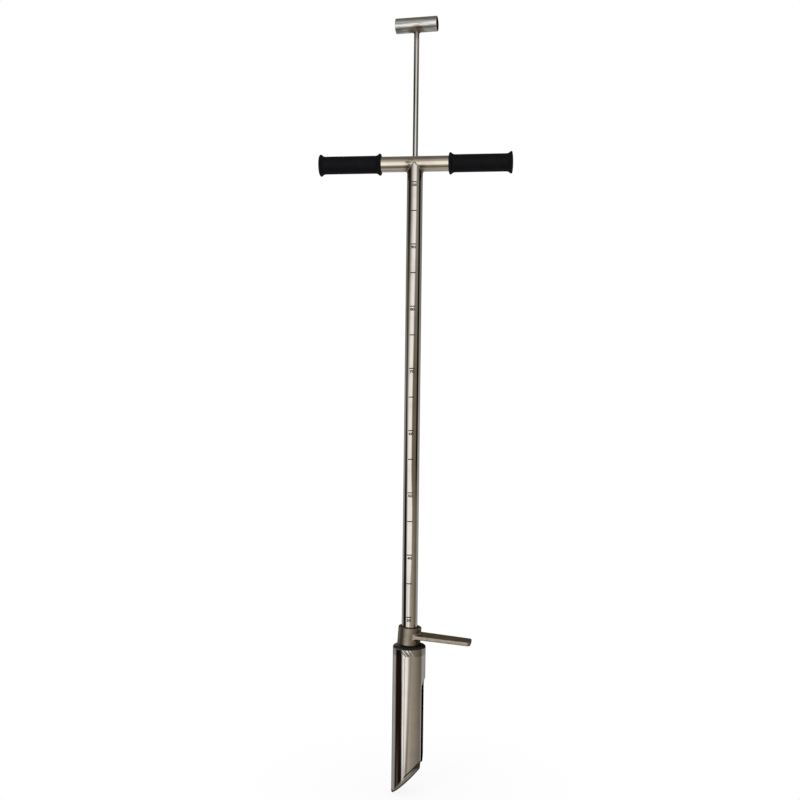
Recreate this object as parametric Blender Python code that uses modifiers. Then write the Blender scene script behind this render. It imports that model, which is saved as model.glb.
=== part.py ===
"""Long-handled hollow dibber: a coring planter with a push-rod ejector and a sliding foot collar.

Metres, +Z up. The origin is on the shaft axis at the level of the cutting tip, the handle runs
along X, the slot of the corer faces +X and the depth scale of the shaft faces -Y.
"""

import math

import bmesh
import bpy
from mathutils import Matrix

# Gap left between pieces that touch or are welded together.
FIT_GAP = 0.0003
# Running clearance of the push rod in its guides, on the radius.
ROD_CLEARANCE = 0.0004

# Corer: tube with a slanted cut at the foot and a slot in its side.
CORER_OD = 0.054
CORER_WALL = 0.0015
CORER_LENGTH = 0.242
CUT_ANGLE = math.radians(44)
BEVEL_HEIGHT = 0.012
EDGE_LAND = 0.0003
SLOT_WIDTH = 0.028
SLOT_TOP = 0.189

# Plate that closes the corer, and the seam weld that is ground flush with both.
PLATE_THICKNESS = 0.005
RIM_RADIUS = 0.0025
SEAM_WIDTH = 0.004
SEAM_DEPTH = 0.0009

# Shaft tube and the fillet weld under the plate.
SHAFT_OD = 0.026
SHAFT_WALL = 0.0015
SHAFT_STUB = 0.004
BASE_WELD_LEG = 0.003
SADDLE_TRIM = 0.004

# Crossbar, its height above the tip, and the bead round the saddle joint.
CROSSBAR_OD = 0.0254
CROSSBAR_WALL = 0.0015
CROSSBAR_HEIGHT = 1.034
HANDLE_LENGTH = 0.321
HANDLE_BEAD = 0.0024

# Rubber grips: sleeves with a flange at both ends, closed outside.
GRIP_LENGTH = 0.1055
GRIP_OD = 0.029
GRIP_FLANGE_OD = 0.036
GRIP_FLANGE_EDGE = 0.0022
GRIP_FLANGE_CREST = 0.0034
GRIP_FLARE_LENGTH = 0.0098
GRIP_FLARE_SLOPE = math.radians(50)
GRIP_FACE_SLOPE = math.radians(70)
GRIP_END_WALL = 0.004

# Guide bush in the shaft's lower end.
BUSH_LENGTH = 0.022
BUSH_FLANGE = 0.003

# Push rod and its cross-tube knob, at the height it is drawn up to.
ROD_DIAMETER = 0.0088
KNOB_HEIGHT = 1.263
KNOB_OD = 0.0242
KNOB_WALL = 0.002
KNOB_LENGTH = 0.069
KNOB_TURN = math.radians(-5)
KNOB_BEAD = 0.0018
TUBE_EDGE = 0.0003

# Ejector disc between the rod's shoulder and its lock nut.
DISC_CLEARANCE = 0.001
DISC_THICKNESS = 0.005
DISC_EDGE = 0.0008
DISC_STOP_GAP = 0.0004
SPIGOT_DIAMETER = 0.006
SPIGOT_SHOW = 0.0015
WASHER_OD = 0.012
WASHER_THICKNESS = 0.0016
NUT_ACROSS_FLATS = 0.010
NUT_HEIGHT = 0.005

# Foot collar: a loose ring, canted on the shaft, cast in one with its foot tread.
COLLAR_OD = 0.038
COLLAR_HEIGHT = 0.029
COLLAR_CLEARANCE = 0.0014
COLLAR_EDGE = 0.0008
COLLAR_CANT = math.radians(4)
COLLAR_SEAT_GAP = 0.0004
TREAD_TURN = math.radians(-4)
TREAD_REACH = 0.102
TREAD_WIDTH = 0.0344
TREAD_END_WIDTH = 0.029
TREAD_THICKNESS = 0.0065
TREAD_TOP = 0.0038
TREAD_EDGE = 0.001
TREAD_CORNER = 0.005
ROOT_FILLET = 0.0045

# Facets: round a large tube, a small turned piece, a small edge, the crown of the slot and a weld
# bead, and across the tread.
TUBE_STEPS = 48
SMALL_STEPS = 24
ARC_STEPS = 4
CROWN_STEPS = 14
BEAD_STEPS = 2
ACROSS_STEPS = 4
# Edges that turn more than this stay sharp in the shading.
SHARP_ANGLE = math.radians(30)
# Corners closer together than this are one.
MERGE_DISTANCE = 0.000001

# Heights and radii that several pieces share.
corer_radius = CORER_OD / 2
corer_bore = corer_radius - CORER_WALL
cutting_edge = corer_bore + EDGE_LAND
plate_bottom = CORER_LENGTH - PLATE_THICKNESS
corer_tube_top = plate_bottom - FIT_GAP
seam_height = plate_bottom - FIT_GAP / 2
shaft_radius = SHAFT_OD / 2
shaft_bore = shaft_radius - SHAFT_WALL
shaft_bottom = plate_bottom - SHAFT_STUB
crossbar_radius = CROSSBAR_OD / 2
rod_radius = ROD_DIAMETER / 2
rod_hole = rod_radius + ROD_CLEARANCE
knob_radius = KNOB_OD / 2
knob_bottom = KNOB_HEIGHT - knob_radius
bush_bottom = shaft_bottom - FIT_GAP - BUSH_FLANGE
disc_top = bush_bottom - DISC_STOP_GAP
disc_bottom = disc_top - DISC_THICKNESS
washer_top = disc_bottom - FIT_GAP
nut_top = washer_top - WASHER_THICKNESS - FIT_GAP
rod_bottom = nut_top - NUT_HEIGHT - SPIGOT_SHOW
collar_radius = COLLAR_OD / 2
collar_bore = shaft_radius + COLLAR_CLEARANCE
collar_half = COLLAR_HEIGHT / 2
collar_sink = collar_half * math.cos(COLLAR_CANT) + collar_radius * math.sin(COLLAR_CANT)
collar_middle = CORER_LENGTH + COLLAR_SEAT_GAP + collar_sink
grip_inner_end = HANDLE_LENGTH / 2 - GRIP_LENGTH


def clear_scene():
    for thing in list(bpy.data.objects):
        bpy.data.objects.remove(thing)


def new_collection(name):
    group = bpy.data.collections.new(name)
    bpy.context.scene.collection.children.link(group)
    return group


def finish(name, colour, roughness, metallic):
    surface = bpy.data.materials.new(name)
    surface.use_nodes = True
    shader = surface.node_tree.nodes["Principled BSDF"]
    shader.inputs["Base Color"].default_value = (*colour, 1)
    shader.inputs["Roughness"].default_value = roughness
    shader.inputs["Metallic"].default_value = metallic
    return surface


def add_part(name, mesh, surface, group=None):
    part = bpy.data.objects.new(name, mesh)
    if surface:
        mesh.materials.append(surface)
    (group or parts).objects.link(part)
    return part


def as_cutter(cutter):
    cutter.hide_render = True
    cutter.display_type = "WIRE"
    return cutter


def join(part, other, operation):
    step = part.modifiers.new(operation.lower() + "_" + other.name, "BOOLEAN")
    step.object = other
    step.operation = operation


def evaluated_mesh(source):
    """The mesh of an object with its modifiers applied, and its loose caps welded."""
    bpy.context.view_layer.update()
    graph = bpy.context.evaluated_depsgraph_get()
    mesh = bpy.data.meshes.new_from_object(source.evaluated_get(graph))
    shape = bmesh.new()
    shape.from_mesh(mesh)
    bmesh.ops.remove_doubles(shape, verts=shape.verts, dist=MERGE_DISTANCE)
    shape.to_mesh(mesh)
    shape.free()
    return mesh


def arc(centre, radius, start, end, steps=ARC_STEPS):
    """Points of an arc in a profile, from one angle to another, measured from its first axis."""
    turn = (end - start) / steps
    angles = [start + turn * step for step in range(steps + 1)]
    return [(centre[0] + radius * math.cos(a), centre[1] + radius * math.sin(a)) for a in angles]


def turned(name, profile, surface, steps, closed, group=None):
    """A shape turned about Z from (radius, height) points that run down its outer side."""
    points = [(radius, 0, height) for radius, height in profile]
    edges = [(i, i + 1) for i in range(len(points) - 1)]
    if closed:
        edges.append((len(points) - 1, 0))
    mesh = bpy.data.meshes.new(name)
    mesh.from_pydata(points, edges, [])
    part = add_part(name, mesh, surface, group)
    screw = part.modifiers.new("turn", "SCREW")
    screw.steps = steps
    screw.render_steps = steps
    screw.use_merge_vertices = True
    screw.merge_threshold = MERGE_DISTANCE
    return part


def ring(name, outer, inner, top, bottom, edge, surface, steps):
    """A turned tube or washer with its outer edges broken."""
    profile = [
        (outer - edge, top),
        (outer, top - edge),
        (outer, bottom + edge),
        (outer - edge, bottom),
        (inner, bottom),
        (inner, top),
    ]
    return turned(name, profile, surface, steps, closed=True)


def rod_cutter(name, radius, top, bottom, steps=SMALL_STEPS):
    profile = [(0, top), (radius, top), (radius, bottom), (0, bottom)]
    return as_cutter(turned(name, profile, None, steps, closed=False, group=cutters))


def lay_along_x(part, height, turn=0):
    """Turns a piece that was made about Z so that its length runs along X."""
    part.location = (0, 0, height)
    part.rotation_euler = (0, math.radians(90), turn)


def saddle_bead(name, inner_radius, cross_radius, cross_height, bead, cross_turn, surface):
    """A weld bead where an upright round piece meets the underside of a cross tube."""
    curve = bpy.data.curves.new(name, "CURVE")
    curve.dimensions = "3D"
    curve.bevel_depth = bead
    curve.bevel_resolution = BEAD_STEPS
    path = curve.splines.new("POLY")
    path.points.add(TUBE_STEPS - 1)
    path.use_cyclic_u = True
    for index, point in enumerate(path.points):
        angle = 2 * math.pi * index / TUBE_STEPS
        across = inner_radius * math.sin(angle - cross_turn)
        drop = math.sqrt(max(cross_radius**2 - across**2, 0))
        place = (inner_radius * math.cos(angle), inner_radius * math.sin(angle))
        point.co = (*place, cross_height - drop, 1)
    guide = bpy.data.objects.new(name + "_path", curve)
    cutters.objects.link(guide)
    part = add_part(name, evaluated_mesh(guide), surface)
    bpy.data.objects.remove(guide)
    return part


def make_corer(steel):
    """The corer: a turned tube whose foot is drawn to a slanted, bevelled edge, then slotted."""
    profile = [
        (corer_radius - SEAM_DEPTH, corer_tube_top),
        (corer_radius - SEAM_DEPTH, seam_height - SEAM_WIDTH / 2),
        (corer_radius, seam_height - SEAM_WIDTH / 2),
        (corer_radius, BEVEL_HEIGHT),
        (cutting_edge, 0),
        (corer_bore, 0),
        (corer_bore, corer_tube_top),
    ]
    blank = turned("corer_blank", profile, None, TUBE_STEPS, closed=True, group=cutters)
    mesh = evaluated_mesh(blank)
    bpy.data.objects.remove(blank)
    for vertex in mesh.vertices:
        if vertex.co.z < CORER_LENGTH / 2:
            vertex.co.z += (vertex.co.x + cutting_edge) * math.tan(CUT_ANGLE)
    corer = add_part("corer_tube", mesh, steel)

    outline = bpy.data.curves.new("slot_outline", "CURVE")
    outline.dimensions = "2D"
    outline.fill_mode = "BOTH"
    outline.extrude = corer_radius
    half = SLOT_WIDTH / 2
    crown = arc((0, SLOT_TOP - half), half, 0, math.pi, CROWN_STEPS)
    foot = [(-half, -BEVEL_HEIGHT), (half, -BEVEL_HEIGHT)]
    side = outline.splines.new("POLY")
    side.points.add(len(crown) + len(foot) - 1)
    side.use_cyclic_u = True
    for point, place in zip(side.points, crown + foot):
        point.co = (*place, 0, 1)
    flat = bpy.data.objects.new("slot_flat", outline)
    cutters.objects.link(flat)
    slot = add_part("slot_cutter", evaluated_mesh(flat), None, cutters)
    bpy.data.objects.remove(flat)
    slot.location.x = corer_radius
    slot.rotation_euler = (math.radians(90), 0, math.radians(90))
    join(corer, as_cutter(slot), "DIFFERENCE")


def make_top_plate(steel, weld):
    hole = shaft_radius + FIT_GAP
    rim = (corer_radius - RIM_RADIUS, CORER_LENGTH - RIM_RADIUS)
    profile = [
        (hole, CORER_LENGTH),
        *arc(rim, RIM_RADIUS, math.radians(90), 0),
        (corer_radius, seam_height + SEAM_WIDTH / 2),
        (corer_radius - SEAM_DEPTH, seam_height + SEAM_WIDTH / 2),
        (corer_radius - SEAM_DEPTH, plate_bottom),
        (hole, plate_bottom),
    ]
    turned("corer_top_plate", profile, steel, TUBE_STEPS, closed=True)

    seam_top = seam_height + SEAM_WIDTH / 2 - FIT_GAP
    seam_bottom = seam_height - SEAM_WIDTH / 2 + FIT_GAP
    seam_inside = corer_radius - SEAM_DEPTH + FIT_GAP
    ring("corer_rim_weld", corer_radius, seam_inside, seam_top, seam_bottom, 0, weld, TUBE_STEPS)

    inside = shaft_radius + FIT_GAP
    top = plate_bottom - FIT_GAP
    fillet = [(inside + BASE_WELD_LEG, top), (inside, top - BASE_WELD_LEG), (inside, top)]
    turned("shaft_base_weld", fillet, weld, TUBE_STEPS, closed=True)


def make_shaft(steel):
    profile = [
        (shaft_radius, CROSSBAR_HEIGHT - SADDLE_TRIM),
        (shaft_radius, shaft_bottom),
        (shaft_bore, shaft_bottom),
        (shaft_bore, CROSSBAR_HEIGHT - SADDLE_TRIM),
    ]
    shaft = turned("shaft_tube", profile, steel, TUBE_STEPS, closed=True)
    reach = SHAFT_OD
    saddle = rod_cutter("saddle_cutter", crossbar_radius + FIT_GAP, reach, -reach, TUBE_STEPS)
    lay_along_x(saddle, CROSSBAR_HEIGHT)
    join(shaft, saddle, "DIFFERENCE")


def make_crossbar(steel, weld):
    half = HANDLE_LENGTH / 2 - GRIP_END_WALL - FIT_GAP
    bore = crossbar_radius - CROSSBAR_WALL
    bar = ring("handle_crossbar", crossbar_radius, bore, half, -half, TUBE_EDGE, steel, TUBE_STEPS)
    lay_along_x(bar, CROSSBAR_HEIGHT)
    drill = rod_cutter(
        "rod_drill", rod_hole, CROSSBAR_HEIGHT + CROSSBAR_OD, CROSSBAR_HEIGHT - CROSSBAR_OD
    )
    join(bar, drill, "DIFFERENCE")

    bead = saddle_bead(
        "handle_weld", shaft_radius, crossbar_radius, CROSSBAR_HEIGHT, HANDLE_BEAD, 0, weld
    )
    reach = SHAFT_OD + HANDLE_BEAD
    across = rod_cutter("bead_bar", crossbar_radius + FIT_GAP, reach, -reach, TUBE_STEPS)
    lay_along_x(across, CROSSBAR_HEIGHT)
    upright = rod_cutter(
        "bead_shaft",
        shaft_radius + FIT_GAP,
        CROSSBAR_HEIGHT,
        CROSSBAR_HEIGHT - CROSSBAR_OD,
        TUBE_STEPS,
    )
    join(bead, across, "DIFFERENCE")
    join(bead, upright, "DIFFERENCE")


def grip_profile():
    """Outer and inner outline of a grip, from the middle of its closed end to that of its bore."""
    flange = GRIP_FLANGE_OD / 2
    body = GRIP_OD / 2
    bore = crossbar_radius + FIT_GAP
    edge = flange - GRIP_FLANGE_EDGE
    outer_crest = GRIP_LENGTH - GRIP_FLANGE_CREST
    return [
        (0, GRIP_LENGTH),
        (edge - GRIP_FLANGE_EDGE, GRIP_LENGTH),
        *arc((edge, outer_crest), GRIP_FLANGE_EDGE, GRIP_FACE_SLOPE, -GRIP_FLARE_SLOPE),
        (body, GRIP_LENGTH - GRIP_FLARE_LENGTH),
        (body, GRIP_FLARE_LENGTH),
        *arc((edge, GRIP_FLANGE_CREST), GRIP_FLANGE_EDGE, GRIP_FLARE_SLOPE, -GRIP_FACE_SLOPE),
        (edge - GRIP_FLANGE_EDGE, 0),
        (bore, 0),
        (bore, GRIP_LENGTH - GRIP_END_WALL),
        (0, GRIP_LENGTH - GRIP_END_WALL),
    ]


def make_grips(rubber):
    for name, side in (("left_grip", -1), ("right_grip", 1)):
        grip = turned(name, grip_profile(), rubber, TUBE_STEPS, closed=False)
        grip.location = (side * grip_inner_end, 0, CROSSBAR_HEIGHT)
        grip.rotation_euler = (0, side * math.radians(90), 0)


def make_guide_bush(plastic):
    shank = shaft_bore - FIT_GAP
    flange_top = shaft_bottom - FIT_GAP
    profile = [
        (shank, flange_top + BUSH_LENGTH),
        (shank, flange_top),
        (shaft_radius, flange_top),
        (shaft_radius, bush_bottom),
        (rod_hole, bush_bottom),
        (rod_hole, flange_top + BUSH_LENGTH),
    ]
    turned("lower_guide_bush", profile, plastic, SMALL_STEPS, closed=True)


def make_plunger(steel, weld):
    """Push rod, knob and the ejector disc with its washer and lock nut."""
    spigot = SPIGOT_DIAMETER / 2
    profile = [
        (0, KNOB_HEIGHT),
        (rod_radius, KNOB_HEIGHT),
        (rod_radius, disc_top + FIT_GAP),
        (spigot, disc_top + FIT_GAP),
        (spigot, rod_bottom),
        (0, rod_bottom),
    ]
    rod = turned("push_rod", profile, steel, SMALL_STEPS, closed=False)
    reach = KNOB_LENGTH
    cope = rod_cutter("knob_cope", knob_radius + FIT_GAP, reach, -reach, TUBE_STEPS)
    lay_along_x(cope, KNOB_HEIGHT, KNOB_TURN)
    join(rod, cope, "DIFFERENCE")

    half = KNOB_LENGTH / 2
    bore = knob_radius - KNOB_WALL
    knob = ring("push_knob", knob_radius, bore, half, -half, TUBE_EDGE, steel, TUBE_STEPS)
    lay_along_x(knob, KNOB_HEIGHT, KNOB_TURN)

    bead = saddle_bead(
        "knob_weld", rod_radius, knob_radius, KNOB_HEIGHT, KNOB_BEAD, KNOB_TURN, weld
    )
    upright = rod_cutter("bead_rod", rod_radius + FIT_GAP, KNOB_HEIGHT, knob_bottom - KNOB_OD)
    join(bead, cope, "DIFFERENCE")
    join(bead, upright, "DIFFERENCE")

    bolt_hole = spigot + FIT_GAP
    disc_radius = corer_bore - DISC_CLEARANCE
    ring(
        "ejector_disc", disc_radius, bolt_hole, disc_top, disc_bottom, DISC_EDGE, steel, TUBE_STEPS
    )
    washer_bottom = washer_top - WASHER_THICKNESS
    ring("rod_washer", WASHER_OD / 2, bolt_hole, washer_top, washer_bottom, 0, steel, SMALL_STEPS)

    mesh = bpy.data.meshes.new("rod_lock_nut")
    shape = bmesh.new()
    corner = NUT_ACROSS_FLATS / 2 / math.cos(math.radians(30))
    bmesh.ops.create_cone(
        shape, cap_ends=True, segments=6, radius1=corner, radius2=corner, depth=NUT_HEIGHT
    )
    shape.to_mesh(mesh)
    shape.free()
    nut = add_part("rod_lock_nut", mesh, steel)
    nut.location.z = nut_top - NUT_HEIGHT / 2
    tap = rod_cutter("nut_tap", bolt_hole, nut_top + NUT_HEIGHT, nut_top - 2 * NUT_HEIGHT)
    join(nut, tap, "DIFFERENCE")


def tread_section(reach, width, flare=0):
    """A closed section across the tread, at the distance from the ring's axis that reach gives."""
    half = width / 2
    flat = half - TREAD_EDGE
    top = TREAD_TOP + flare
    bottom = TREAD_TOP - TREAD_THICKNESS - flare
    row = [flat - 2 * flat * step / ACROSS_STEPS for step in range(ACROSS_STEPS + 1)]
    outline = [
        *((across, top) for across in row),
        (-half, top - TREAD_EDGE),
        (-half, bottom + TREAD_EDGE),
        *((across, bottom) for across in reversed(row)),
        (half, bottom + TREAD_EDGE),
        (half, top - TREAD_EDGE),
    ]
    return [(reach(across), across, height) for across, height in outline]


def tread_sections():
    """Sections from inside the ring's wall out: a fillet round the ring, the blade, a rounded end."""

    def round_ring(radius):
        return lambda across: math.sqrt(max(radius**2 - across**2, 0))

    def straight(place):
        return lambda across: place

    angles = [math.radians(90) * step / ARC_STEPS for step in range(ARC_STEPS + 1)]
    wall_middle = (collar_bore + collar_radius) / 2
    sections = [tread_section(round_ring(wall_middle), TREAD_WIDTH, ROOT_FILLET)]
    for angle in angles:
        away = ROOT_FILLET * (1 - math.cos(angle))
        flare = ROOT_FILLET * (1 - math.sin(angle))
        sections.append(tread_section(round_ring(collar_radius + away), TREAD_WIDTH, flare))
    for angle in angles:
        place = TREAD_REACH - TREAD_CORNER * (1 - math.sin(angle))
        inset = TREAD_CORNER * (1 - math.cos(angle))
        sections.append(tread_section(straight(place), TREAD_END_WIDTH - 2 * inset))
    return sections


def make_foot_collar(casting):
    profile = [
        (0, collar_half),
        (collar_radius - COLLAR_EDGE, collar_half),
        (collar_radius, collar_half - COLLAR_EDGE),
        (collar_radius, COLLAR_EDGE - collar_half),
        (collar_radius - COLLAR_EDGE, -collar_half),
        (0, -collar_half),
    ]
    collar = turned("foot_collar", profile, casting, TUBE_STEPS, closed=False)

    shape = bmesh.new()
    loops = [[shape.verts.new(place) for place in section] for section in tread_sections()]
    for near, far in zip(loops, loops[1:]):
        for index in range(len(near)):
            after = (index + 1) % len(near)
            shape.faces.new((near[index], near[after], far[after], far[index]))
    shape.faces.new(loops[0])
    shape.faces.new(loops[-1])
    bmesh.ops.recalc_face_normals(shape, faces=shape.faces)
    mesh = bpy.data.meshes.new("tread_blade")
    shape.to_mesh(mesh)
    shape.free()
    blade = as_cutter(add_part("tread_blade", mesh, None, cutters))
    bore = rod_cutter("collar_bore", collar_bore, COLLAR_HEIGHT, -COLLAR_HEIGHT, TUBE_STEPS)
    join(collar, blade, "UNION")
    join(collar, bore, "DIFFERENCE")

    cant = Matrix.Rotation(COLLAR_CANT, 4, "Y")
    turn = Matrix.Rotation(TREAD_TURN, 4, "Z")
    seat = Matrix.Translation((0, 0, collar_middle))
    for piece in (collar, blade, bore):
        piece.matrix_world = seat @ turn @ cant


def settle(part):
    """Applies a part's modifiers and shades it smooth between its sharp edges."""
    mesh = evaluated_mesh(part)
    part.modifiers.clear()
    part.data = mesh
    mesh.name = part.name
    mesh.shade_smooth()
    mesh.set_sharp_from_angle(angle=SHARP_ANGLE)


clear_scene()
parts = new_collection("hollow_dibber")
cutters = new_collection("cutters")

tube_steel = finish("tube_steel", (0.55, 0.51, 0.46), 0.28, 1.0)
bright_steel = finish("bright_steel", (0.62, 0.61, 0.58), 0.30, 1.0)
weld_steel = finish("weld_steel", (0.42, 0.36, 0.31), 0.45, 1.0)
cast_steel = finish("cast_steel", (0.34, 0.30, 0.24), 0.50, 1.0)
grip_rubber = finish("grip_rubber", (0.012, 0.012, 0.013), 0.70, 0.0)
bush_plastic = finish("bush_plastic", (0.75, 0.73, 0.68), 0.45, 0.0)

make_corer(tube_steel)
make_top_plate(tube_steel, weld_steel)
make_shaft(tube_steel)
make_crossbar(tube_steel, weld_steel)
make_grips(grip_rubber)
make_guide_bush(bush_plastic)
make_plunger(bright_steel, weld_steel)
make_foot_collar(cast_steel)

for piece in parts.objects:
    settle(piece)
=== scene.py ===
"""Looks of a long-handled hollow dibber: stainless tubes, welds, rubber grips, cast foot collar."""

from math import asin, cos, degrees, pi, radians, sin, sqrt, tan

import bmesh
import bpy
from mathutils import Matrix, Vector


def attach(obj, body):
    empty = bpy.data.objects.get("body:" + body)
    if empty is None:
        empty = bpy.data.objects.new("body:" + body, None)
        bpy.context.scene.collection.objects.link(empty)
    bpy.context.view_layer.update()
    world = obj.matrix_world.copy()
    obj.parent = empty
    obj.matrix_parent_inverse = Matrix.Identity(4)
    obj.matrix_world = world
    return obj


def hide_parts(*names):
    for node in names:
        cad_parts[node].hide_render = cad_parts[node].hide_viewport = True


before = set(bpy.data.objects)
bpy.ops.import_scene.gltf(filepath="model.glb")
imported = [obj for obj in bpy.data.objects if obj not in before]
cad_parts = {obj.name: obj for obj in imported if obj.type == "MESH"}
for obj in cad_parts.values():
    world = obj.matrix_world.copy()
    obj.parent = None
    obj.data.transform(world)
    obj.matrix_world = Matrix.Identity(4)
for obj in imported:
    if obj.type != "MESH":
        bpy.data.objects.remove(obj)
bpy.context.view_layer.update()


# Corer tube: thin stainless tube, sawn off at a slant, ground from outside to a cutting edge and
# slotted down one side so that soil can be cleared. After welding its top was dressed with a flap
# disc, which left a band of slanting marks.
CORER_RADIUS = 0.027
CORER_BORE = 0.0255
CORER_TOP = 0.2367
CUT_SLOPE = tan(radians(44))
EDGE_RADIUS = 0.0258
BEVEL_ROWS = (
    (EDGE_RADIUS, 0),
    (0.02632, 0.0011),
    (0.02690, 0.0090),
    (0.02697, 0.0118),
    (CORER_RADIUS, 0.0128),
)
BEVEL_AT_TIP = 0.33
SLOT_HALF = 0.014
SLOT_CENTRE = 0.175
SLOT_TURN = radians(-2.5)
SLOT_ROUND = 0.00035
STRAIGHT_FROM = 0.062
CROWN_STEPS = 18
TUBE_FACETS = 128
TUBE_COLOUR = (0.60, 0.55, 0.50)
DRESSED_FROM = 0.2280
DRESSED_TO = 0.2404
DRESSING_LEAN = 0.7
DRESSING_PITCH = 0.0022
MERGE_GAP = 0.000002


class Wire:
    """A value between two nodes. Arithmetic on it adds Math nodes."""

    def __init__(self, nodes, socket):
        self.nodes = nodes
        self.socket = socket

    def beside(self, output):
        """Another output of the same node."""
        return Wire(self.nodes, self.socket.node.outputs[output])

    def __add__(self, other):
        return self.nodes.math("ADD", self, other)

    __radd__ = __add__

    def __sub__(self, other):
        return self.nodes.math("SUBTRACT", self, other)

    def __rsub__(self, other):
        return self.nodes.math("SUBTRACT", other, self)

    def __mul__(self, other):
        return self.nodes.math("MULTIPLY", self, other)

    __rmul__ = __mul__

    def __truediv__(self, other):
        return self.nodes.math("DIVIDE", self, other)

    def __abs__(self):
        return self.nodes.math("ABSOLUTE", self)


class Nodes:
    """A node tree, and the one way in which nodes are added to it."""

    def __init__(self, tree):
        self.tree = tree

    def node(self, kind, inputs=None, output=0, **settings):
        node = self.tree.nodes.new(kind if "Node" in kind else "ShaderNode" + kind)
        for name, value in settings.items():
            setattr(node, name, value)
        for name, value in (inputs or {}).items():
            self.feed(node.inputs[name], value)
        return Wire(self, node.outputs[output])

    def feed(self, socket, value):
        """Links a wire to a socket, or sets a value on it. Colours come in three parts."""
        if isinstance(value, Wire):
            self.tree.links.new(value.socket, socket)
        else:
            socket.default_value = (*value, 1) if socket.type == "RGBA" else value

    def math(self, operation, *values):
        return self.node("Math", dict(enumerate(values)), operation=operation)

    def vector(self, operation, *values, output=0):
        return self.node("VectorMath", dict(enumerate(values)), output, operation=operation)

    def fade(self, value, low, high):
        """0 below low, 1 above high, and smooth between them."""
        inputs = {"Value": value, "From Min": low, "From Max": high}
        return self.node("MapRange", inputs, interpolation_type="SMOOTHSTEP")

    def fall(self, value, low, high):
        """1 below low, 0 above high, and smooth between them."""
        return 1 - self.fade(value, low, high)

    def blend(self, share, first, second):
        """A colour between two others."""
        return self.node("Mix", {0: share, 6: first, 7: second}, 2, data_type="RGBA")

    def noise(self, place, scale, detail):
        inputs = {"Vector": place, "Scale": scale, "Detail": detail, "Roughness": 0.55}
        return self.node("TexNoise", inputs)

    def distance(self, place, point):
        return self.vector("DISTANCE", place, point, output=1)


class Finish(Nodes):
    """A material whose colour, roughness and relief are gathered before they are laid on."""

    def __init__(self, name, colour, metallic=1):
        self.material = bpy.data.materials.new(name)
        self.material.use_nodes = True
        super().__init__(self.material.node_tree)
        self.shader = self.tree.nodes["Principled BSDF"]
        self.colour = colour
        self.metallic = metallic
        self.normal = None
        self.place = self.node("TexCoord", output="Object")
        self.x = self.node("SeparateXYZ", {0: self.place})
        self.y, self.z = self.x.beside("Y"), self.x.beside("Z")

    def grain(self, scale, detail):
        """Noise that is fixed to the piece. Three scales stretch it along the axes."""
        if isinstance(scale, tuple):
            stretched = self.node("Mapping", {"Vector": self.place, "Scale": scale})
            return self.noise(stretched, 1, detail)
        return self.noise(self.place, scale, detail)

    def from_axis(self, point, axis):
        """Distance from a line through a point, along an axis one unit long."""
        swept = self.vector("CROSS_PRODUCT", self.vector("SUBTRACT", self.place, point), axis)
        return self.vector("LENGTH", swept, output=1)

    def paint(self, share, colour):
        self.colour = self.blend(share, self.colour, colour)

    def mottle(self, scale, detail, low, high, colour):
        """Paints patches of another colour, and gives their noise for roughness and relief."""
        patches = self.grain(scale, detail)
        self.paint(self.fade(patches, low, high), colour)
        return patches

    def relief(self, height, depth):
        inputs = {"Strength": 1, "Distance": depth, "Height": height}
        if self.normal:
            inputs["Normal"] = self.normal
        self.normal = self.node("Bump", inputs)

    def put(self, name, value):
        self.feed(self.shader.inputs[name], value)

    def lay(self):
        """The material, with all that was gathered for it."""
        self.put("Base Color", self.colour)
        self.put("Roughness", self.roughness)
        self.put("Metallic", self.metallic)
        if self.normal:
            self.put("Normal", self.normal)
        return self.material


def tube_finish(name, colour, roughness, grain, sway, streak=0.00003):
    """Stainless with polishing lines along the tube, faint smears and a slightly wavy wall."""
    finish = Finish(name, colour)
    lines = finish.grain(grain, 3)
    streaks = finish.grain(tuple(0.32 * part for part in grain), 2)
    smears = finish.mottle(46, 4, 0.42, 0.78, [0.88 * part for part in colour])
    finish.roughness = roughness + (lines - 0.5) * 0.05 + (smears - 0.5) * 0.04
    finish.relief(finish.grain(sway, 1), 0.0004)
    finish.relief(streaks, streak)
    finish.relief(lines, 0.000002)
    return finish


def skin(shape, rows, wrap=False):
    """Adds faces between rows of points. A wrapped row closes on itself."""
    rings = [[shape.verts.new(point) for point in row] for row in rows]
    for low, high in zip(rings, rings[1:]):
        for index in range(len(low) if wrap else len(low) - 1):
            after = (index + 1) % len(low)
            shape.faces.new((low[index], low[after], high[after], high[index]))


def mesh_of(name, shape):
    mesh = bpy.data.meshes.new(name)
    shape.to_mesh(mesh)
    shape.free()
    return mesh


def placed(name, data):
    thing = bpy.data.objects.new(name, data)
    bpy.context.scene.collection.objects.link(thing)
    return thing


def piece_with(name, mesh, material, sharp=35):
    """A piece with a mesh: smooth, but crisp at edges over an angle in degrees."""
    mesh.shade_smooth()
    mesh.set_sharp_from_angle(angle=radians(sharp))
    mesh.materials.clear()
    mesh.materials.append(material)
    return placed(name, mesh)


def piece_from(name, shape, material, sharp=35):
    """A piece from a shape, with its seams merged and its faces turned outwards."""
    bmesh.ops.remove_doubles(shape, verts=shape.verts, dist=MERGE_GAP)
    bmesh.ops.dissolve_degenerate(shape, edges=shape.edges, dist=MERGE_GAP / 2)
    bmesh.ops.recalc_face_normals(shape, faces=shape.faces)
    return piece_with(name, mesh_of(name, shape), material, sharp)


def bevel_share(x):
    """How much of the full bevel there is across the tube: it narrows towards the tip."""
    along = min(max(1 + x / EDGE_RADIUS, 0), 1)
    return BEVEL_AT_TIP + (1 - BEVEL_AT_TIP) * along**2 * (3 - 2 * along)


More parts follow.
